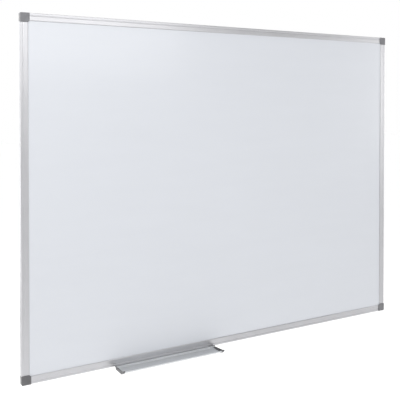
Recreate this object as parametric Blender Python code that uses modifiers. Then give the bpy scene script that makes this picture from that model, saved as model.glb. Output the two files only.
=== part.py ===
"""Magnetic whiteboard: a lacquered steel panel in an aluminium frame, with clip-on corner covers
and a pen tray that slides along the bottom rail.

Metres, +Z up. The wall is the plane y = 0, the writing face looks along -Y, and the origin is the
middle of the board on the wall. Sections are drawn as (in, out): in from the frame's outer edge
towards the middle of the board, and out from the wall towards the room.
"""

import math

import bmesh
import bpy
from mathutils import Matrix

# Whole board, over the frame's outer edges
BOARD_WIDTH = 1.200
BOARD_HEIGHT = 0.900

# Gap between pieces that touch, how far a cutter runs past what it cuts, and the weld distance
GAP = 0.0003
OVERRUN = 0.002
WELD = 0.000001

# Frame extrusion
RAIL_DEPTH = 0.0130
RAIL_FACE = 0.0210
RAIL_WALL = 0.0013
RAIL_FRONT = 0.0014
REAR_FLANGE = 0.0190
OUTER_ROUND = 0.0012
BACK_ROUND = 0.0008
CHAMBER_WIDTH = 0.0066
LIP_BEVEL = 0.0016
LIP_EDGE = 0.0009

# Line down the rail's face
GROOVE_IN = 0.0052
GROOVE_WIDTH = 0.0030
GROOVE_FLOOR = 0.0014
GROOVE_DEPTH = 0.0005

# Slot down the rail's outer side, which the tray hooks into
SLOT_OUT = 0.0060
SLOT_OPENING = 0.0030
SLOT_POCKET = 0.0054
SLOT_LIP = 0.0012
SLOT_DEPTH = 0.0028

# Panel layers: the core fills what the two sheets leave of the channel
SHEET_THICKNESS = 0.0004
BACKING_THICKNESS = 0.0003

# Corner cover
CAP_SIDE = 0.0230
CAP_OVERLAP = 0.0012
CAP_PLATE = 0.0015
CAP_SKIRT = 0.0012
CAP_ROUND = 0.0025
CAP_CHAMFER = 0.0045
CAP_EDGE = 0.0007
CAP_FOOT = 0.0005
PEG_RADIUS = 0.0017
PEG_LENGTH = 0.0070

# Corner connector
BLOCK_SETBACK = 0.0020
SOCKET_SPARE = 0.0010
LEG_LENGTH = 0.0300
LEG_TIP = 0.0015
LEG_POCKETS = 3
LEG_RIB = 0.0016
LEG_WEB = 0.0022

# Wall screw
SCREW_LENGTH = 0.0400
SCREW_RADIUS = 0.0020
SCREW_TIP = 0.0050
HEAD_RADIUS = 0.0040
HEAD_EDGE = 0.0004
HEAD_CONE = 0.0022
RECESS_SPAN = 0.0044
RECESS_SLIT = 0.0009
RECESS_DEPTH = 0.0016

# Pen tray extrusion: reaches are forward of the rail's face, drops are below the rail
TRAY_LENGTH = 0.2980
TRAY_CENTRE = -0.2055
TRAY_WALL = 0.0015
TRAY_UPSTAND = 0.0006
TRAY_DROP = 0.0050
TRAY_FLOOR = 0.0360
TRAY_BEND = 0.0015
TRAY_LIP_RADIUS = 0.0120
TRAY_LIP_ANGLE = math.radians(45)
TRAY_LIP_RUN = 0.0040
HOOK_PLAY = 0.0004
HOOK_HEAD = 0.0017

# Push-on ends of the tray: the plate's top runs straight from its back to the notch, then up to the tip
END_PLATE = 0.0018
END_SLEEVE = 0.0040
END_WALL = 0.0009
END_MARGIN = 0.0002
END_STEP = 0.0002
END_START = 0.0026
END_TOP = 0.0025
END_NOTCH = 0.0420
END_NOTCH_RISE = 0.0007
END_TIP = 0.0028
END_TIP_RISE = 0.0040

# Facets of round shapes
ARC_STEPS = 8
LIP_STEPS = 8
ROUND_SIDES = 24

# Places that follow from the sizes above
chamber_start = SLOT_LIP + SLOT_DEPTH + RAIL_WALL
chamber_end = chamber_start + CHAMBER_WIDTH
chamber_top = RAIL_DEPTH - GROOVE_DEPTH - RAIL_WALL
channel_start = chamber_end + RAIL_WALL
channel_top = RAIL_DEPTH - RAIL_FRONT
rail_end = CAP_SIDE - CAP_OVERLAP
arm_end = rail_end - GAP
plate_back = RAIL_DEPTH + GAP
plate_front = plate_back + CAP_PLATE
block_edge = CAP_SKIRT + GAP
block_top = RAIL_DEPTH - BLOCK_SETBACK
screw_place = (block_edge + channel_start) / 2
peg_place = (channel_start + arm_end) / 2
web_line = -(GAP + END_MARGIN + TRAY_WALL / 2)
floor_line = -(TRAY_DROP + TRAY_WALL / 2)
hook_place = SLOT_OUT - RAIL_DEPTH

# Turns that take a drawn outline to the part's frame
ALONG_RAIL = Matrix(((0, 0, 1, 0), (0, -1, 0, 0), (1, 0, 0, 0), (0, 0, 0, 1)))
OUT_OF_WALL = Matrix.Rotation(math.radians(90), 4, "X")
ALONG_TRAY = Matrix(((0, 0, -1, 0), (-1, 0, 0, 0), (0, 1, 0, 0), (0, 0, 0, 1)))

# Each corner as its name, its place as signs of the half sizes, and the quarter turns that bring it there
CORNERS = (
    ("bottom_left", -1, -1, 0),
    ("bottom_right", 1, -1, -1),
    ("top_right", 1, 1, 2),
    ("top_left", -1, 1, 1),
)


def clear_scene():
    """Removes whatever the scene holds."""
    for thing in list(bpy.data.objects):
        bpy.data.objects.remove(thing)


def new_collection(name):
    collection = bpy.data.collections.new(name)
    bpy.context.scene.collection.children.link(collection)
    return collection


def new_material(name, colour, roughness, metallic):
    """A Principled material with one colour all over."""
    material = bpy.data.materials.new(name)
    material.use_nodes = True
    shader = material.node_tree.nodes["Principled BSDF"]
    shader.inputs["Base Color"].default_value = (*colour, 1)
    shader.inputs["Roughness"].default_value = roughness
    shader.inputs["Metallic"].default_value = metallic
    material.diffuse_color = (*colour, 1)
    return material


def arc(centre, radius, start, end, steps=ARC_STEPS):
    """Points along an arc, both ends included, with angles in degrees."""
    points = []
    for step in range(steps + 1):
        angle = math.radians(start + (end - start) * step / steps)
        points.append((centre[0] + radius * math.cos(angle), centre[1] + radius * math.sin(angle)))
    return points


def rectangle(low, high):
    return [(low[0], low[1]), (high[0], low[1]), (high[0], high[1]), (low[0], high[1])]


def beside(path, distance):
    """A line at an even distance to the left of a path, or to its right where the distance is negative."""
    points = []
    for index, (x, y) in enumerate(path):
        before = path[max(index - 1, 0)]
        after = path[min(index + 1, len(path) - 1)]
        into = math.atan2(y - before[1], x - before[0]) if index else None
        out = math.atan2(after[1] - y, after[0] - x) if index < len(path) - 1 else into
        into = out if into is None else into
        turn = (out - into) / 2
        reach = distance / math.cos(turn)
        angle = into + turn + math.pi / 2
        points.append((x + reach * math.cos(angle), y + reach * math.sin(angle)))
    return points


def ribbon(path, thickness):
    """The outline of a strip of even thickness laid along a path."""
    return beside(path, thickness / 2) + beside(path, -thickness / 2)[::-1]


def weld(mesh):
    """Joins a curve's loose caps to its sides, turns the faces out and merges the flat ones."""
    shape = bmesh.new()
    shape.from_mesh(mesh)
    bmesh.ops.remove_doubles(shape, verts=shape.verts, dist=WELD)
    bmesh.ops.dissolve_limit(shape, angle_limit=math.radians(1), verts=shape.verts, edges=shape.edges)
    bmesh.ops.recalc_face_normals(shape, faces=shape.faces)
    shape.to_mesh(mesh)
    shape.free()


def extruded(outlines, low, high, turn):
    """A mesh of flat outlines, the later ones holes in the first, run from low to high and then turned."""
    curve = bpy.data.curves.new("outline", "CURVE")
    curve.dimensions = "2D"
    curve.fill_mode = "BOTH"
    curve.extrude = (high - low) / 2
    for points in outlines:
        spline = curve.splines.new("POLY")
        spline.points.add(len(points) - 1)
        for corner, (x, y) in zip(spline.points, points):
            corner.co = (x, y, 0, 1)
        spline.use_cyclic_u = True
    guide = bpy.data.objects.new("outline", curve)
    guide.location.z = (low + high) / 2
    cutters.objects.link(guide)
    bpy.context.view_layer.update()
    mesh = bpy.data.meshes.new_from_object(guide.evaluated_get(bpy.context.evaluated_depsgraph_get()))
    mesh.transform(turn @ guide.matrix_world)
    bpy.data.objects.remove(guide)
    bpy.data.curves.remove(curve)
    weld(mesh)
    return mesh


def box(low, high):
    """A box between two corners."""
    shape = bmesh.new()
    bmesh.ops.create_cube(shape, size=1)
    size = [b - a for a, b in zip(low, high)]
    middle = [(a + b) / 2 for a, b in zip(low, high)]
    bmesh.ops.scale(shape, vec=size, verts=shape.verts)
    bmesh.ops.translate(shape, vec=middle, verts=shape.verts)
    mesh = bpy.data.meshes.new("box")
    shape.to_mesh(mesh)
    shape.free()
    return mesh


def cone(place, low, high, low_radius, high_radius):
    """A cone or cylinder that stands on the wall plane at place, from low to high out of the wall."""
    shape = bmesh.new()
    bmesh.ops.create_cone(
        shape,
        cap_ends=True,
        segments=ROUND_SIDES,
        radius1=low_radius,
        radius2=high_radius,
        depth=high - low,
        matrix=OUT_OF_WALL @ Matrix.Translation((place[0], place[1], (low + high) / 2)),
    )
    mesh = bpy.data.meshes.new("cone")
    shape.to_mesh(mesh)
    shape.free()
    return mesh


def turned(profile, place):
    """A round body from a profile of (radius, out) points, front to back, about an axis at place."""
    mesh = bpy.data.meshes.new("profile")
    steps = [(index, index + 1) for index in range(len(profile) - 1)]
    mesh.from_pydata([(radius, 0, out) for radius, out in profile], steps, [])
    guide = bpy.data.objects.new("profile", mesh)
    cutters.objects.link(guide)
    screw = guide.modifiers.new("turn", "SCREW")
    screw.steps = ROUND_SIDES
    screw.render_steps = ROUND_SIDES
    screw.use_merge_vertices = True
    screw.merge_threshold = WELD
    bpy.context.view_layer.update()
    body = bpy.data.meshes.new_from_object(guide.evaluated_get(bpy.context.evaluated_depsgraph_get()))
    bpy.data.objects.remove(guide)
    body.transform(OUT_OF_WALL @ Matrix.Translation((place[0], place[1], 0)))
    weld(body)
    return body


def combined(base, others, operation):
    """The base mesh with each of the others joined to it or cut from it."""
    target = bpy.data.objects.new("base", base)
    cutters.objects.link(target)
    helpers = []
    for other in others:
        helper = bpy.data.objects.new("helper", other)
        helper.hide_render = True
        helper.display_type = "WIRE"
        cutters.objects.link(helper)
        helpers.append(helper)
        modifier = target.modifiers.new(operation.lower(), "BOOLEAN")
        modifier.operation = operation
        modifier.object = helper
    bpy.context.view_layer.update()
    mesh = bpy.data.meshes.new_from_object(target.evaluated_get(bpy.context.evaluated_depsgraph_get()))
    for thing in (target, *helpers):
        bpy.data.objects.remove(thing)
    weld(mesh)
    return mesh


def piece(name, mesh, material, parent, location=(0, 0, 0), turns=0):
    """One named sub-part, turned by quarter turns about Y, placed, and shaded smooth over its round faces."""
    mesh.materials.clear()
    mesh.materials.append(material)
    mesh.shade_smooth()
    mesh.set_sharp_from_angle(angle=math.radians(30))
    thing = bpy.data.objects.new(name, mesh)
    thing.location = location
    thing.rotation_euler.y = turns * math.pi / 2
    thing.parent = parent
    parts.objects.link(thing)
    return thing


def anchor(name, location, parent=None):
    """An empty that carries the pieces of one body."""
    empty = bpy.data.objects.new(name, None)
    empty.location = location
    empty.parent = parent
    parts.objects.link(empty)
    return empty


def face_groove():
    """The line down the rail's face, from its inner side to its outer side."""
    slope = (GROOVE_WIDTH - GROOVE_FLOOR) / 2
    floor = RAIL_DEPTH - GROOVE_DEPTH
    return [
        (GROOVE_IN + GROOVE_WIDTH, RAIL_DEPTH),
        (GROOVE_IN + GROOVE_WIDTH - slope, floor),
        (GROOVE_IN + slope, floor),
        (GROOVE_IN, RAIL_DEPTH),
    ]


def hook_slot():
    """The undercut slot down the rail's outer side, from its front lip to its back lip."""
    bottom = SLOT_LIP + SLOT_DEPTH
    opening = SLOT_OPENING / 2
    pocket = SLOT_POCKET / 2
    return [
        (0, SLOT_OUT + opening),
        (SLOT_LIP, SLOT_OUT + opening),
        (SLOT_LIP, SLOT_OUT + pocket),
        (bottom, SLOT_OUT + pocket),
        (bottom, SLOT_OUT - pocket),
        (SLOT_LIP, SLOT_OUT - pocket),
        (SLOT_LIP, SLOT_OUT - opening),
        (0, SLOT_OUT - opening),
    ]


def rail_section():
    """The frame extrusion's section, with the hollow chamber that takes the corner's leg."""
    outside = [(REAR_FLANGE, 0), (REAR_FLANGE, RAIL_WALL)]
    outside += [(channel_start, RAIL_WALL), (channel_start, channel_top)]
    outside += [(RAIL_FACE, channel_top), (RAIL_FACE, channel_top + LIP_EDGE)]
    outside += [(RAIL_FACE - LIP_BEVEL, RAIL_DEPTH)]
    outside += face_groove()
    outside += arc((OUTER_ROUND, RAIL_DEPTH - OUTER_ROUND), OUTER_ROUND, 90, 180)
    outside += hook_slot()
    outside += arc((BACK_ROUND, BACK_ROUND), BACK_ROUND, 180, 270)
    chamber = rectangle((chamber_start, RAIL_WALL), (chamber_end, chamber_top))
    return [outside, chamber]


def add_rails(board, material):
    """Four lengths of the extrusion, cut square where the corners begin."""
    sides = (
        ("bottom_rail", BOARD_WIDTH, (0, 0, -BOARD_HEIGHT / 2), 0),
        ("right_rail", BOARD_HEIGHT, (BOARD_WIDTH / 2, 0, 0), -1),
        ("top_rail", BOARD_WIDTH, (0, 0, BOARD_HEIGHT / 2), 2),
        ("left_rail", BOARD_HEIGHT, (-BOARD_WIDTH / 2, 0, 0), 1),
    )
    for name, side, location, turns in sides:
        half = side / 2 - rail_end
        mesh = extruded(rail_section(), -half, half, ALONG_RAIL)
        piece(name, mesh, material, board, location, turns)


def add_panel(board, sheet_material, core_material, backing_material):
    """The three layers, which reach into the rails' channel on all four sides."""
    half_width = BOARD_WIDTH / 2 - channel_start - GAP
    half_height = BOARD_HEIGHT / 2 - channel_start - GAP
    sheet_front = channel_top - GAP
    sheet_back = sheet_front - SHEET_THICKNESS
    backing_back = RAIL_WALL + GAP
    backing_front = backing_back + BACKING_THICKNESS
    layers = (
        ("writing_sheet", sheet_back, sheet_front, sheet_material),
        ("core_board", backing_front + GAP, sheet_back - GAP, core_material),
        ("backing_sheet", backing_back, backing_front, backing_material),
    )
    for name, back, front, material in layers:
        mesh = box((-half_width, -front, -half_height), (half_width, -back, half_height))
        piece(name, mesh, material, board)


def corner_block():
    """The L of the connector that fills the corner, rounded to follow the cover."""
    radius = CAP_ROUND - block_edge
    outline = arc((CAP_ROUND, CAP_ROUND), radius, 180, 270)
    outline += [(arm_end, block_edge), (arm_end, channel_start), (channel_start, channel_start)]
    outline += [(channel_start, arm_end), (block_edge, arm_end)]
    return extruded([outline], 0, block_top, OUT_OF_WALL)


def swapped(points, swap):
    """The same points with their two directions exchanged, for the corner's other arm."""
    return [(y, x) for x, y in points] if swap else points


def corner_leg(swap):
    """One leg that plugs into a rail's chamber, with a tapered tip."""
    low = chamber_start + GAP
    high = chamber_end - GAP
    root = arm_end - OVERRUN
    tip = rail_end + LEG_LENGTH
    outline = [(root, low), (tip - LEG_TIP, low), (tip, low + LEG_TIP)]
    outline += [(tip, high - LEG_TIP), (tip - LEG_TIP, high), (root, high)]
    return extruded([swapped(outline, swap)], RAIL_WALL + GAP, chamber_top - GAP, OUT_OF_WALL)


def leg_pockets(swap):
    """Cutters for the pockets that lighten a leg and leave ribs across it."""
    low = chamber_start + GAP + LEG_RIB
    high = chamber_end - GAP - LEG_RIB
    floor = RAIL_WALL + GAP + LEG_WEB
    start = rail_end + LEG_RIB
    pitch = (LEG_LENGTH - LEG_TIP - LEG_RIB) / LEG_POCKETS
    pockets = []
    for index in range(LEG_POCKETS):
        near = start + index * pitch
        outline = swapped(rectangle((near, low), (near + pitch - LEG_RIB, high)), swap)
        pockets.append(extruded([outline], floor, chamber_top + OVERRUN, OUT_OF_WALL))
    return pockets


def peg_places():
    return ((peg_place, screw_place), (screw_place, peg_place))


def screw_hole():
    """Cutter for the countersunk hole through the corner."""
    hole = SCREW_RADIUS + GAP
    rim = HEAD_RADIUS + GAP
    edge = block_top - HEAD_EDGE - GAP
    profile = [(0, block_top + OVERRUN), (rim, block_top + OVERRUN), (rim, edge)]
    profile += [(hole, edge - HEAD_CONE), (hole, -OVERRUN), (0, -OVERRUN)]
    return turned(profile, (screw_place, screw_place))


def connector_mesh():
    """A corner: the block, two legs with pockets, the screw hole and the sockets for the cover's pegs."""
    body = combined(corner_block(), [corner_leg(False), corner_leg(True)], "UNION")
    holes = leg_pockets(False) + leg_pockets(True) + [screw_hole()]
    socket = PEG_RADIUS + GAP
    floor = plate_back - PEG_LENGTH - SOCKET_SPARE
    for place in peg_places():
        holes.append(cone(place, floor, block_top + OVERRUN, socket, socket))
    return combined(body, holes, "DIFFERENCE")


def cap_outline():
    """The cover from the front: square, rounded outside and cut across at the panel's corner."""
    outline = arc((CAP_ROUND, CAP_ROUND), CAP_ROUND, 180, 270)
    outline += [(CAP_SIDE, 0), (CAP_SIDE, CAP_SIDE - CAP_CHAMFER)]
    outline += [(CAP_SIDE - CAP_CHAMFER, CAP_SIDE), (0, CAP_SIDE)]
    return outline


def cap_hollow():
    """Cutter for all behind the front plate but the skirt, which runs down the two outer sides."""
    past = CAP_SIDE + OVERRUN
    outline = arc((CAP_ROUND, CAP_ROUND), CAP_ROUND - CAP_SKIRT, 270, 180)
    outline += [(CAP_SKIRT, arm_end), (-OVERRUN, arm_end), (-OVERRUN, past)]
    outline += [(past, past), (past, -OVERRUN), (arm_end, -OVERRUN), (arm_end, CAP_SKIRT)]
    return extruded([outline], -OVERRUN, plate_back, OUT_OF_WALL)


def soften_front(mesh, front, width):
    """Bevels the edges round the face that looks into the room."""
    shape = bmesh.new()
    shape.from_mesh(mesh)
    rim = []
    for edge in shape.edges:
        at_front = all(abs(vert.co.y + front) < WELD for vert in edge.verts)
        if at_front and edge.calc_face_angle(0) > math.radians(30):
            rim.append(edge)
    bmesh.ops.bevel(shape, geom=rim, offset=width, segments=2, profile=0.5, affect="EDGES")
    shape.to_mesh(mesh)
    shape.free()


def cap_mesh():
    """A cover: a plate with a softened edge, a skirt and two pegs that press into the corner."""
    block = extruded([cap_outline()], CAP_FOOT, plate_front, OUT_OF_WALL)
    soften_front(block, plate_front, CAP_EDGE)
    shell = combined(block, [cap_hollow()], "DIFFERENCE")
    pegs = []
    for place in peg_places():
        pegs.append(cone(place, plate_back - PEG_LENGTH, plate_back + CAP_PLATE / 2, PEG_RADIUS, PEG_RADIUS))
    return combined(shell, pegs, "UNION")


def screw_mesh():
    """A countersunk screw with a cross recess, its head towards the room."""
    top = block_top - GAP
    tip = top - SCREW_LENGTH
    profile = [(0, top), (HEAD_RADIUS, top), (HEAD_RADIUS, top - HEAD_EDGE)]
    profile += [(SCREW_RADIUS, top - HEAD_EDGE - HEAD_CONE), (SCREW_RADIUS, tip + SCREW_TIP), (0, tip)]
    span = RECESS_SPAN / 2
    slit = RECESS_SLIT / 2
    front = -(top + OVERRUN)
    back = -(top - RECESS_DEPTH)
    wide = box((-span, front, -slit), (span, back, slit))
    tall = box((-slit, front, -span), (slit, back, span))
    return combined(turned(profile, (0, 0)), [wide, tall], "DIFFERENCE")


def add_corners(board, nylon, grey, zinc):
    """A connector, a wall screw and a clip-on cover at each corner."""
    connector = connector_mesh()
    cap = cap_mesh()
    screw = screw_mesh()
    for name, across, up, turns in CORNERS:
        place = (across * BOARD_WIDTH / 2, 0, up * BOARD_HEIGHT / 2)
        inward = (-across * screw_place, 0, -up * screw_place)
        screw_at = [a + b for a, b in zip(place, inward)]
        piece(f"corner_connector_{name}", connector, nylon, board, place, turns)
        piece(f"wall_screw_{name}", screw, zinc, board, screw_at)
        piece(f"corner_cap_{name}", cap, grey, board, place, turns)


def tray_path():
    """The middle line of the tray's wall: back web, upstand, floor and flared lip."""
    bend = min(TRAY_BEND, (web_line - floor_line) / 2 - WELD)
    path = [(hook_place - SLOT_OPENING / 2, web_line)]
    path += arc((TRAY_UPSTAND - bend, web_line - bend), bend, 90, 0)
    path += arc((TRAY_UPSTAND + bend, floor_line + bend), bend, 180, 270)
    return path + lip_path()


def lip_path():
    """The front of the same line: it curves up from the floor and ends in a short straight run."""
    angle = math.degrees(TRAY_LIP_ANGLE)
    centre = (TRAY_FLOOR, floor_line + TRAY_LIP_RADIUS)
    path = arc(centre, TRAY_LIP_RADIUS, 270, 270 + angle, LIP_STEPS)
    return path + [beyond(path[-1], TRAY_LIP_RUN)]


def beyond(point, distance):
    """A point further along the lip's slope."""
    return (
        point[0] + distance * math.cos(TRAY_LIP_ANGLE),
        point[1] + distance * math.sin(TRAY_LIP_ANGLE),
    )


def hook_points():
    """The neck and head that run inside the rail's slot, from the back of the neck to its front."""
    neck = SLOT_OPENING / 2 - GAP
    head = SLOT_POCKET / 2 - HOOK_PLAY
    top = web_line + TRAY_WALL / 2
    low = SLOT_LIP + GAP
    high = low + HOOK_HEAD
    back = [(-neck, top), (-neck, low), (-head, low), (-head, high)]
    front = [(-x, y) for x, y in reversed(back)]
    return [(hook_place + x, y) for x, y in back + front]


def tray_mesh():
    """The tray extrusion: an even wall from the web to the lip, with the hook standing on the web."""
    half = TRAY_LENGTH / 2
    outline = ribbon(tray_path(), TRAY_WALL)
    outline[1:1] = hook_points()
    return extruded([outline], -half, half, ALONG_TRAY)


def end_path(start, past):
    """The middle line of an end's grip, along the tray's floor and lip and a little past the lip."""
    path = [(start, floor_line)] + lip_path()
    return path + [beyond(path[-1], past)]


def end_outline():
    """The plate from the side: it follows the grip below, with a blunt tip and a straight top."""
    outline = beside(end_path(END_START, END_TIP), -(TRAY_WALL / 2 + GAP + END_WALL))
    outline += [(outline[-1][0], END_TIP_RISE), (END_NOTCH, END_NOTCH_RISE), (END_START, -END_TOP)]
    return outline


def tray_end_mesh(side):
    """A push-on end: a sleeve that grips the floor and the lip, a plate, and a thinner one behind the web."""
    sleeve_start = TRAY_LENGTH / 2 - END_SLEEVE
    plate_start = TRAY_LENGTH / 2 + GAP
    plate_end = plate_start + END_PLATE
    grip = ribbon(end_path(END_START + END_STEP, GAP + END_WALL), TRAY_WALL + 2 * (GAP + END_WALL - END_STEP))
    slot = ribbon(end_path(END_START - OVERRUN, GAP), TRAY_WALL + 2 * GAP)
    web = ribbon(tray_path(), TRAY_WALL + 2 * END_MARGIN)
    shapes = (
        (grip, sleeve_start, plate_start + END_STEP),
        (slot, sleeve_start - OVERRUN, plate_start),
        (end_outline(), plate_start, plate_end),
        (web, plate_start + END_STEP, plate_end - END_STEP),
    )
    sleeve, inside, plate, closure = [
        extruded([outline], min(side * near, side * far), max(side * near, side * far), ALONG_TRAY)
        for outline, near, far in shapes
    ]
    return combined(combined(sleeve, [inside], "DIFFERENCE"), [plate, closure], "UNION")


def add_tray(board, aluminium, grey):
    """The tray and its two ends, on an empty at the rail's front bottom edge that slides along X."""
    slide = anchor("tray_slide", (TRAY_CENTRE, -RAIL_DEPTH, -BOARD_HEIGHT / 2), board)
    piece("pen_tray", tray_mesh(), aluminium, slide)
    piece("tray_end_left", tray_end_mesh(1), grey, slide)
    piece("tray_end_right", tray_end_mesh(-1), grey, slide)


clear_scene()
parts = new_collection("magnetic_whiteboard")
cutters = new_collection("cutters")
cutters.hide_render = True

anodised = new_material("anodised_aluminium", (0.62, 0.63, 0.64), 0.34, 1.0)
lacquer = new_material("white_lacquered_steel", (0.82, 0.84, 0.87), 0.18, 0.0)
fibreboard = new_material("fibreboard", (0.42, 0.30, 0.19), 0.85, 0.0)
galvanised = new_material("galvanised_steel", (0.55, 0.57, 0.58), 0.45, 1.0)
nylon_black = new_material("black_nylon", (0.03, 0.03, 0.03), 0.55, 0.0)
abs_grey = new_material("grey_abs", (0.21, 0.21, 0.22), 0.45, 0.0)
zinc_plate = new_material("zinc_plated_steel", (0.66, 0.66, 0.63), 0.30, 1.0)

whiteboard = anchor("whiteboard", (0, 0, 0))
add_panel(whiteboard, lacquer, fibreboard, galvanised)
add_rails(whiteboard, anodised)
add_corners(whiteboard, nylon_black, abs_grey, zinc_plate)
add_tray(whiteboard, anodised, abs_grey)
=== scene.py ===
import math

import bmesh
import bpy
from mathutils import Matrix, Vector


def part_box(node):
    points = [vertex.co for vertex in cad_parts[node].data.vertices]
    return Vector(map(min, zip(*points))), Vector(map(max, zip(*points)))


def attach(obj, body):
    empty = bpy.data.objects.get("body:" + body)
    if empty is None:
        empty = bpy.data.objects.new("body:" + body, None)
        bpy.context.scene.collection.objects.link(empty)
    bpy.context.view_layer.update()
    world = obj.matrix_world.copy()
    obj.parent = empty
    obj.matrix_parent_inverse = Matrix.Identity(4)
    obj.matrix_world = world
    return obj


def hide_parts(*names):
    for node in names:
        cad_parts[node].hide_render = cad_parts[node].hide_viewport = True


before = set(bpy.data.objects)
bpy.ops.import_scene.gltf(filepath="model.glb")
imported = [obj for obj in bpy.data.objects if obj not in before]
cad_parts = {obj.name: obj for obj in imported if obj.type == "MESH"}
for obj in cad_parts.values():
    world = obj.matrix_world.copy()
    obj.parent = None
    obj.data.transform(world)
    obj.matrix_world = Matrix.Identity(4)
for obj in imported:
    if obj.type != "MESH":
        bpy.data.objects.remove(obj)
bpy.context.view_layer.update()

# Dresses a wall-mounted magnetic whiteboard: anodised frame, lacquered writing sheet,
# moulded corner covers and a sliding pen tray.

mm = 0.001


def colour(hexCode):
    # sRGB hex to the linear values a shader takes
    linear = []
    for start in (0, 2, 4):
        share = int(hexCode[start:start + 2], 16) / 255
        linear.append(share / 12.92 if share <= 0.04045 else ((share + 0.055) / 1.055) ** 2.4)
    return (*linear, 1.0)


def addNode(tree, kind, settings=None, links=None):
    # settings holds the node's own options, its sockets' values and a colour ramp's stops, each a
    # position with a hex value; links holds the node or the socket that feeds each input
    node = tree.nodes.new(kind)
    for name, value in (settings or {}).items():
        if name == "stops":
            elements = node.color_ramp.elements
            for index, (position, tone) in enumerate(value):
                element = elements[index] if index < 2 else elements.new(position)
                element.position = position
                element.color = colour(tone)
        elif name in node.inputs:
            node.inputs[name].default_value = value
        else:
            setattr(node, name, value)
    for name, source in (links or {}).items():
        output = source.outputs[0] if hasattr(source, "outputs") else source
        tree.links.new(output, node.inputs[name])
    return node


def startMaterial(name):
    # a material with an empty node tree, and the object's own coordinates in metres
    material = bpy.data.materials.new(name)
    material.use_nodes = True
    tree = material.node_tree
    tree.nodes.clear()
    place = addNode(tree, "ShaderNodeTexCoord").outputs["Object"]
    return material, tree, place


def endMaterial(tree, settings, links):
    shader = addNode(tree, "ShaderNodeBsdfPrincipled", settings, links)
    addNode(tree, "ShaderNodeOutputMaterial", {}, {"Surface": shader})


railLook = {
    "light": "CFCFD2",
    "dark": "C6C6C9",
    "rough": (0.30, 0.38),
    "lineSpacing": 0.7 * mm,   # drawn about twice as coarse as real die lines, so that they show
    "lineRun": 160 * mm,       # how far one die line runs before it fades
    "lineDepth": 0.012 * mm,
    "relief": 0.6,
    "cloudSize": 45 * mm,
    "cloudShare": 0.35,        # the clouds' share of the tone, against the lines
}
trayLook = {**railLook, "light": "DDDFE1", "dark": "D5D7DA", "rough": (0.58, 0.66)}


def makeAluminium(name, look, along):
    # anodised aluminium: a satin grey metal, with faint lines that the extrusion die left along it
    material, tree, place = startMaterial(name)
    scale = [1 / look["lineSpacing"]] * 3
    scale[along] = 1 / look["lineRun"]
    stretched = addNode(tree, "ShaderNodeMapping", {"Scale": scale}, {"Vector": place})
    lines = addNode(tree, "ShaderNodeTexNoise", {
        "Scale": 1.0, "Detail": 3.0, "Roughness": 0.6}, {"Vector": stretched})
    clouds = addNode(tree, "ShaderNodeTexNoise", {
        "Scale": 1 / look["cloudSize"], "Detail": 2.0}, {"Vector": place})
    both = addNode(tree, "ShaderNodeMix", {"Factor": look["cloudShare"]}, {"A": lines, "B": clouds})
    tone = addNode(tree, "ShaderNodeValToRGB", {
        "stops": ((0.30, look["dark"]), (0.70, look["light"]))}, {"Fac": both})
    low, high = look["rough"]
    rough = addNode(tree, "ShaderNodeMapRange", {
        "From Min": 0.25, "From Max": 0.75, "To Min": low, "To Max": high}, {"Value": both})
    bump = addNode(tree, "ShaderNodeBump", {
        "Strength": look["relief"], "Distance": look["lineDepth"]}, {"Height": lines})
    endMaterial(tree, {"Metallic": 1.0}, {"Base Color": tone, "Roughness": rough, "Normal": bump})
    return material


lacquerLook = {
    "light": "DDE0E6",
    "shade": "DCDFE5",
    "rough": (0.275, 0.285),
    "ior": 1.5,
    "peelSize": 2.2 * mm,
    "peelDepth": 0.004 * mm,
    "relief": 0.5,
    "wipeLong": 260 * mm,      # a hand's stroke with the wiper
    "wipeWide": 35 * mm,
    "wipeTilt": 24,
    "clearCoat": 0.35,
    "clearCoatRough": 0.12,
}


def makeLacquer(look):
    # lacquered steel: a cool gloss white with the slight orange peel of roller coating, and faint
    # differences in gloss where a wiper has passed
    material, tree, place = startMaterial("lacqueredSteel")
    peel = addNode(tree, "ShaderNodeTexNoise", {
        "Scale": 1 / look["peelSize"], "Detail": 1.0}, {"Vector": place})
    strokes = addNode(tree, "ShaderNodeMapping", {
        "Rotation": (0, math.radians(look["wipeTilt"]), 0),
        "Scale": (1 / look["wipeLong"], 1, 1 / look["wipeWide"])}, {"Vector": place})
    wipes = addNode(tree, "ShaderNodeTexNoise", {
        "Scale": 1.0, "Detail": 4.0, "Roughness": 0.55}, {"Vector": strokes})
    tone = addNode(tree, "ShaderNodeValToRGB", {
        "stops": ((0.35, look["shade"]), (0.65, look["light"]))}, {"Fac": wipes})
    low, high = look["rough"]
    rough = addNode(tree, "ShaderNodeMapRange", {
        "From Min": 0.35, "From Max": 0.65, "To Min": low, "To Max": high}, {"Value": wipes})
    bump = addNode(tree, "ShaderNodeBump", {
        "Strength": look["relief"], "Distance": look["peelDepth"]}, {"Height": peel})
    coat = {"Coat Weight": look["clearCoat"], "Coat Roughness": look["clearCoatRough"]}
    endMaterial(tree, {"IOR": look["ior"], **coat},
                {"Base Color": tone, "Roughness": rough, "Normal": bump})
    return material


absLook = {
    "light": "838386",
    "dark": "7B7B7E",
    "rough": (0.42, 0.52),
    "ior": 1.54,
    "grainSize": 0.8 * mm,     # spark-eroded mould grain, drawn about three times as coarse as real
    "grainDepth": 0.02 * mm,
    "relief": 0.5,
    "flowSize": 14 * mm,
}
# a darker grey: the tray ends' own plastic, and painted shade on the lower left corner cover
darkAndShadeLook = {**absLook, "light": "6A6A6C", "dark": "626264"}


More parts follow.
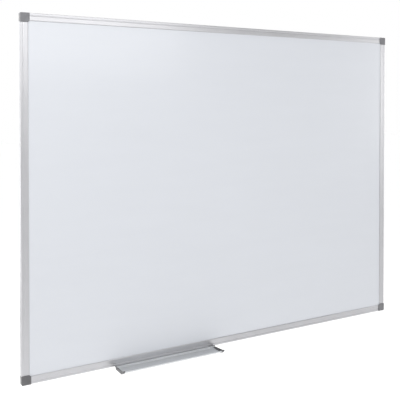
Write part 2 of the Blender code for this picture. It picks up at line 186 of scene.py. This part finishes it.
def makeAbs(name, look):
    # ABS: moulded grey plastic with a fine eroded grain and soft tone changes where the melt flowed
    material, tree, place = startMaterial(name)
    grain = addNode(tree, "ShaderNodeTexNoise", {
        "Scale": 1 / look["grainSize"], "Detail": 2.0}, {"Vector": place})
    flow = addNode(tree, "ShaderNodeTexNoise", {
        "Scale": 1 / look["flowSize"], "Detail": 2.0, "Distortion": 0.6}, {"Vector": place})
    tone = addNode(tree, "ShaderNodeValToRGB", {
        "stops": ((0.35, look["dark"]), (0.65, look["light"]))}, {"Fac": flow})
    low, high = look["rough"]
    rough = addNode(tree, "ShaderNodeMapRange", {
        "From Min": 0.30, "From Max": 0.70, "To Min": low, "To Max": high}, {"Value": grain})
    bump = addNode(tree, "ShaderNodeBump", {
        "Strength": look["relief"], "Distance": look["grainDepth"]}, {"Height": grain})
    endMaterial(tree, {"IOR": look["ior"]}, {"Base Color": tone, "Roughness": rough, "Normal": bump})
    return material


galvanisedLook = {
    "tones": ((0.0, "9BA0A2"), (0.35, "B4B8B9"), (0.7, "A6ABAD"), (1.0, "C3C6C6")),
    "rough": (0.34, 0.50),
    "spangle": 11 * mm,
    "haze": 70 * mm,
    "hazeShare": 0.4,          # the haze's share of the tone, against the crystals
}


def makeGalvanised(look):
    # galvanised steel: zinc crystals in flat grey patches, each with its own tone and gloss
    material, tree, place = startMaterial("galvanisedSteel")
    crystals = addNode(tree, "ShaderNodeTexVoronoi", {"Scale": 1 / look["spangle"]}, {"Vector": place})
    each = addNode(tree, "ShaderNodeSeparateColor", {}, {"Color": crystals.outputs["Color"]})
    haze = addNode(tree, "ShaderNodeTexNoise", {"Scale": 1 / look["haze"], "Detail": 3.0}, {"Vector": place})
    mixed = addNode(tree, "ShaderNodeMix", {"Factor": look["hazeShare"]}, {"A": each, "B": haze})
    tone = addNode(tree, "ShaderNodeValToRGB", {"stops": look["tones"]}, {"Fac": mixed})
    low, high = look["rough"]
    rough = addNode(tree, "ShaderNodeMapRange", {"To Min": low, "To Max": high}, {"Value": each})
    endMaterial(tree, {"Metallic": 1.0}, {"Base Color": tone, "Roughness": rough})
    return material


nylonLook = {
    "light": "2B2B2D",
    "dark": "1F1F21",
    "rough": 0.5,
    "ior": 1.53,
    "flow": 9 * mm,
    "grain": 0.9 * mm,
    "grainDepth": 0.015 * mm,
    "relief": 0.5,
}


def makeNylon(look):
    # black nylon: the inner corner moulding, dull with slightly paler flow marks
    material, tree, place = startMaterial("blackNylon")
    flow = addNode(tree, "ShaderNodeTexNoise", {
        "Scale": 1 / look["flow"], "Detail": 3.0, "Distortion": 1.0}, {"Vector": place})
    grain = addNode(tree, "ShaderNodeTexNoise", {"Scale": 1 / look["grain"]}, {"Vector": place})
    tone = addNode(tree, "ShaderNodeValToRGB", {
        "stops": ((0.35, look["dark"]), (0.7, look["light"]))}, {"Fac": flow})
    bump = addNode(tree, "ShaderNodeBump", {
        "Strength": look["relief"], "Distance": look["grainDepth"]}, {"Height": grain})
    endMaterial(tree, {"IOR": look["ior"], "Roughness": look["rough"]}, {"Base Color": tone, "Normal": bump})
    return material


zincLook = {"light": "D6D5CE", "dark": "BEBFBD", "cloud": 3 * mm, "rough": (0.22, 0.36)}


def makeZinc(look):
    # bright zinc plate on the screws: silvery with a trace of yellow and small dull clouds
    material, tree, place = startMaterial("zincPlate")
    cloud = addNode(tree, "ShaderNodeTexNoise", {
        "Scale": 1 / look["cloud"], "Detail": 3.0}, {"Vector": place})
    tone = addNode(tree, "ShaderNodeValToRGB", {
        "stops": ((0.3, look["dark"]), (0.7, look["light"]))}, {"Fac": cloud})
    low, high = look["rough"]
    rough = addNode(tree, "ShaderNodeMapRange", {
        "From Min": 0.30, "From Max": 0.70, "To Min": high, "To Max": low}, {"Value": cloud})
    endMaterial(tree, {"Metallic": 1.0}, {"Base Color": tone, "Roughness": rough})
    return material


fibreLook = {
    "light": "A98A66",
    "dark": "8A6C4B",
    "rough": 0.9,
    "ior": 1.45,
    "fibre": 1.2 * mm,
    "fibreDepth": 0.1 * mm,
    "relief": 0.6,
    "speck": 6 * mm,
    "speckShare": 0.5,         # the specks' share of the tone, against the fibres
}


def makeFibreboard(look):
    # raw fibreboard: pressed brown fibres, matt and a little fluffy
    material, tree, place = startMaterial("fibreboard")
    fibres = addNode(tree, "ShaderNodeTexNoise", {
        "Scale": 1 / look["fibre"], "Detail": 5.0, "Distortion": 2.0}, {"Vector": place})
    specks = addNode(tree, "ShaderNodeTexNoise", {
        "Scale": 1 / look["speck"], "Detail": 3.0}, {"Vector": place})
    mixed = addNode(tree, "ShaderNodeMix", {"Factor": look["speckShare"]}, {"A": fibres, "B": specks})
    tone = addNode(tree, "ShaderNodeValToRGB", {
        "stops": ((0.4, look["dark"]), (0.6, look["light"]))}, {"Fac": mixed})
    bump = addNode(tree, "ShaderNodeBump", {
        "Strength": look["relief"], "Distance": look["fibreDepth"]}, {"Height": fibres})
    endMaterial(tree, {"IOR": look["ior"], "Roughness": look["rough"]}, {"Base Color": tone, "Normal": bump})
    return material


railAcross = makeAluminium("anodisedAluminiumAcross", railLook, 0)
railUpright = makeAluminium("anodisedAluminiumUpright", railLook, 2)
trayAluminium = makeAluminium("anodisedAluminiumTray", trayLook, 0)
lacqueredSteel = makeLacquer(lacquerLook)
greyAbs = makeAbs("greyAbs", absLook)
darkAndShadeAbs = makeAbs("darkGreyAbsAndPaintedShade", darkAndShadeLook)
galvanisedSteel = makeGalvanised(galvanisedLook)
blackNylon = makeNylon(nylonLook)
zincPlate = makeZinc(zincLook)
fibreboard = makeFibreboard(fibreLook)
print("materials ready")


def finishNode(name, material):
    # a CAD node that is shown as it is
    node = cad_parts[name]
    node.data.materials.clear()
    node.data.materials.append(material)


weldWithin = 0.002 * mm
flatWithin = math.radians(1)


def dress(name, body, material, edge, reshape=None):
    # a finished copy of a CAD node: welded, its flat faces whole, and its edges broken as real ones are
    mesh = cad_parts[name].data.copy()
    mesh.name = name + "_finished"
    shape = bmesh.new()
    shape.from_mesh(mesh)
    bmesh.ops.remove_doubles(shape, verts=shape.verts, dist=weldWithin)
    bmesh.ops.dissolve_limit(shape, angle_limit=flatWithin, verts=shape.verts, edges=shape.edges)
    if reshape:
        reshape(shape, name)
    shape.to_mesh(mesh)
    shape.free()
    mesh.materials.clear()
    mesh.materials.append(material)
    mesh.shade_smooth()
    mesh.set_sharp_from_angle(angle=math.radians(edge["sharpFrom"]))
    piece = bpy.data.objects.new(name + "_finished", mesh)
    bpy.context.scene.collection.objects.link(piece)
    bevel = piece.modifiers.new("edges", "BEVEL")
    bevel.width = edge["width"]
    bevel.segments = edge["segments"]
    bevel.limit_method = "ANGLE"
    bevel.angle_limit = math.radians(edge["sharpFrom"])
    # large faces stay flat up to their edges
    weights = piece.modifiers.new("flatFaces", "WEIGHTED_NORMAL")
    weights.keep_sharp = True
    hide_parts(name)
    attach(piece, body)


railEdge = {
    "width": 0.15 * mm,
    "segments": 2,
    "sharpFrom": 28,
    "lipTrim": 1.7 * mm,       # how much earlier the lip over the sheet ends than on the CAD rail
    "lipWidth": 1.7 * mm,      # the sloping lip, from its tip to the flat face
    "lipHeight": 2.2 * mm,     # and from the front face back
}


def trimLip(outward):
    # draws a rail's inner lip back, so that its face is as wide as the one in the photograph
    def reshape(shape, name):
        low, high = (Vector(point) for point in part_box(name))
        until = min(low.dot(outward), high.dot(outward)) + railEdge["lipWidth"]
        back = low.y + railEdge["lipHeight"]
        lip = [vert for vert in shape.verts if vert.co.dot(outward) < until and vert.co.y < back]
        bmesh.ops.translate(shape, verts=lip, vec=outward * railEdge["lipTrim"])
    return reshape


# each rail's metal, and the direction from the sheet to its outer side
rails = {
    "top_rail": (railAcross, (0, 0, 1)),
    "bottom_rail": (railAcross, (0, 0, -1)),
    "left_rail": (railUpright, (-1, 0, 0)),
    "right_rail": (railUpright, (1, 0, 0)),
}

for name, (material, outward) in rails.items():
    dress(name, "board", material, railEdge, trimLip(Vector(outward)))
print("frame rails dressed")

finishNode("writing_sheet", lacqueredSteel)
finishNode("core_board", fibreboard)
finishNode("backing_sheet", galvanisedSteel)
print("panel finished")

capEdge = {"width": 0.25 * mm, "segments": 3, "sharpFrom": 35}
connectorEdge = {"width": 0.2 * mm, "segments": 2, "sharpFrom": 28}
screwEdge = {"width": 0.12 * mm, "segments": 2, "sharpFrom": 28}

# each corner with its cover's plastic; the lower left cover is the same moulding in a darker grey, as
# painted shade
covers = {
    "top_left": greyAbs,
    "top_right": greyAbs,
    "bottom_right": greyAbs,
    # painted shade: the same cover moulding in the darker grey
    "bottom_left": darkAndShadeAbs,
}

for corner, plastic in covers.items():
    dress("corner_cap_" + corner, "cap_" + corner, plastic, capEdge)
    dress("corner_connector_" + corner, "board", blackNylon, connectorEdge)
    dress("wall_screw_" + corner, "board", zincPlate, screwEdge)
print("corners dressed")

trayEdge = {"width": 0.15 * mm, "segments": 2, "sharpFrom": 28}
trayEndEdge = {"width": 0.3 * mm, "segments": 3, "sharpFrom": 35}

dress("pen_tray", "tray", trayAluminium, trayEdge)
for side in ("left", "right"):
    dress("tray_end_" + side, "tray", darkAndShadeAbs, trayEndEdge)
print("pen tray dressed")

# the floor, in metres; it stops short in front of the board, so that it throws little light up at
# the writing face
floorLook = {
    "height": -1.5,
    "left": -30,
    "right": 30,
    "front": -3.5,
    "back": 30,
    "gapLeft": 1.2,            # a gap in front of the board to the right, which the bottom rail
    "gapRight": 3.25,          # mirrors as its darker stretch
    "gapBack": -1.7,
    "light": "FAFAFA",
    "dark": "F8F8F8",
    "speck": 25 * mm,
    "rough": 0.8,
}


def makeFloor(look):
    # pale studio floor: matt paint with the faintest mottling
    material, tree, place = startMaterial("paleFloor")
    speck = addNode(tree, "ShaderNodeTexNoise", {
        "Scale": 1 / look["speck"], "Detail": 4.0}, {"Vector": place})
    tone = addNode(tree, "ShaderNodeValToRGB", {
        "stops": ((0.3, look["dark"]), (0.7, look["light"]))}, {"Fac": speck})
    endMaterial(tree, {"Roughness": look["rough"]}, {"Base Color": tone})
    outline = (
        ("left", "front"), ("gapLeft", "front"), ("gapLeft", "gapBack"), ("gapRight", "gapBack"),
        ("gapRight", "front"), ("right", "front"), ("right", "back"), ("left", "back"))
    mesh = bpy.data.meshes.new("floor")
    shape = bmesh.new()
    shape.faces.new([shape.verts.new((look[x], look[y], look["height"])) for x, y in outline])
    shape.to_mesh(mesh)
    shape.free()
    mesh.materials.append(material)
    floor = bpy.data.objects.new("floor", mesh)
    bpy.context.scene.collection.objects.link(floor)


makeFloor(floorLook)

# the room: white behind the board, dimmer in front of it, mostly above, and white paper for the camera
roomLook = {
    "frontLow": 0.83,
    "frontHigh": 0.35,
    "lowUntil": -0.08,         # where low gives way to high, as the share of a direction that goes up
    "highFrom": 0.18,
    "back": 1.0,
    "frontUntil": -0.45,       # and front to back, as the share that goes towards the wall
    "backFrom": 0.25,
    "paper": 1.0,
}


def makeRoom(look):
    world = bpy.data.worlds.new("studioRoom")
    bpy.context.scene.world = world
    world.use_nodes = True
    tree = world.node_tree
    tree.nodes.clear()
    direction = addNode(tree, "ShaderNodeTexCoord").outputs["Generated"]
    parts = addNode(tree, "ShaderNodeSeparateXYZ", {}, {"Vector": direction})
    smooth = {"interpolation_type": "SMOOTHSTEP"}
    front = addNode(tree, "ShaderNodeMapRange", {
        **smooth, "From Min": look["lowUntil"], "From Max": look["highFrom"],
        "To Min": look["frontLow"], "To Max": look["frontHigh"]}, {"Value": parts.outputs["Z"]})
    brightness = addNode(tree, "ShaderNodeMapRange", {
        **smooth, "From Min": look["frontUntil"], "From Max": look["backFrom"],
        "To Max": look["back"]}, {"Value": parts.outputs["Y"], "To Min": front})
    white = {"Color": (1, 1, 1, 1)}
    room = addNode(tree, "ShaderNodeBackground", white, {"Strength": brightness})
    paper = addNode(tree, "ShaderNodeBackground", {**white, "Strength": look["paper"]})
    seen = addNode(tree, "ShaderNodeLightPath").outputs["Is Camera Ray"]
    whole = addNode(tree, "ShaderNodeMixShader", {}, {"Fac": seen, 1: room, 2: paper})
    addNode(tree, "ShaderNodeOutputWorld", {}, {"Surface": whole})


makeRoom(roomLook)

# softboxes: place, the point each faces, width and height in metres, and power in watts
softboxes = {
    "middleSoftbox": ((0.58, -3.2, 0.95), (0, 0, 0.2), 1.85, 0.9, 11.6),
    "rightSoftbox": ((4.3, -3.2, 0.6), (0.8, 0, 0.1), 0.7, 1.8, 12.0),
    "nearSoftbox": ((-1.8, -1.5, 1.2), (-0.4, 0, 0.2), 0.9, 0.9, 18.5),
    "backSoftbox": ((1.5, 4.0, 1.5), (0, 0, 0), 3.0, 2.4, 25),
    "sideSoftbox": ((-1.9, 3.4, 0.25), (-0.6, 0, 0.0), 2.2, 3.1, 28),
}

# an even light from straight above, which keeps the floor white and only skims the board
ceilingLight = {"strength": 1.07, "spread": 30, "place": (0, -1, 3), "target": (0, -1, 0)}


def placeLight(name, light, place, target):
    lamp = bpy.data.objects.new(name, light)
    lamp.location = place
    lamp.rotation_euler = (Vector(target) - Vector(place)).to_track_quat("-Z", "Y").to_euler()
    lamp.visible_camera = False
    bpy.context.scene.collection.objects.link(lamp)


for name, (place, target, width, height, power) in softboxes.items():
    light = bpy.data.lights.new(name, "AREA")
    light.shape = "RECTANGLE"
    light.size = width
    light.size_y = height
    light.energy = power
    placeLight(name, light, place, target)

ceiling = bpy.data.lights.new("ceilingLight", "SUN")
ceiling.energy = ceilingLight["strength"]
ceiling.angle = math.radians(ceilingLight["spread"])
placeLight("ceilingLight", ceiling, ceilingLight["place"], ceilingLight["target"])
print("studio lit")

photographer = {
    "place": (-1.0245, -1.6044, 0.2247),
    "tilt": -1.0,              # degrees below level
    "turn": 30.065,            # degrees to the right of the wall's normal
    "lens": 59.77,             # in millimetres, as the film is
    "film": 36,
    "riseShare": -0.2051,      # the lens is shifted, so the board's uprights stay upright
}

camera = bpy.data.cameras.new("camera")
camera.lens = photographer["lens"]
camera.sensor_width = photographer["film"]
camera.shift_y = photographer["riseShare"]
viewer = bpy.data.objects.new("camera", camera)
viewer.location = photographer["place"]
upwards = math.radians(90 + photographer["tilt"])
viewer.rotation_euler = (upwards, 0, -math.radians(photographer["turn"]))
bpy.context.scene.collection.objects.link(viewer)
bpy.context.scene.camera = viewer
bpy.context.scene.view_settings.view_transform = "Standard"
print("camera placed")
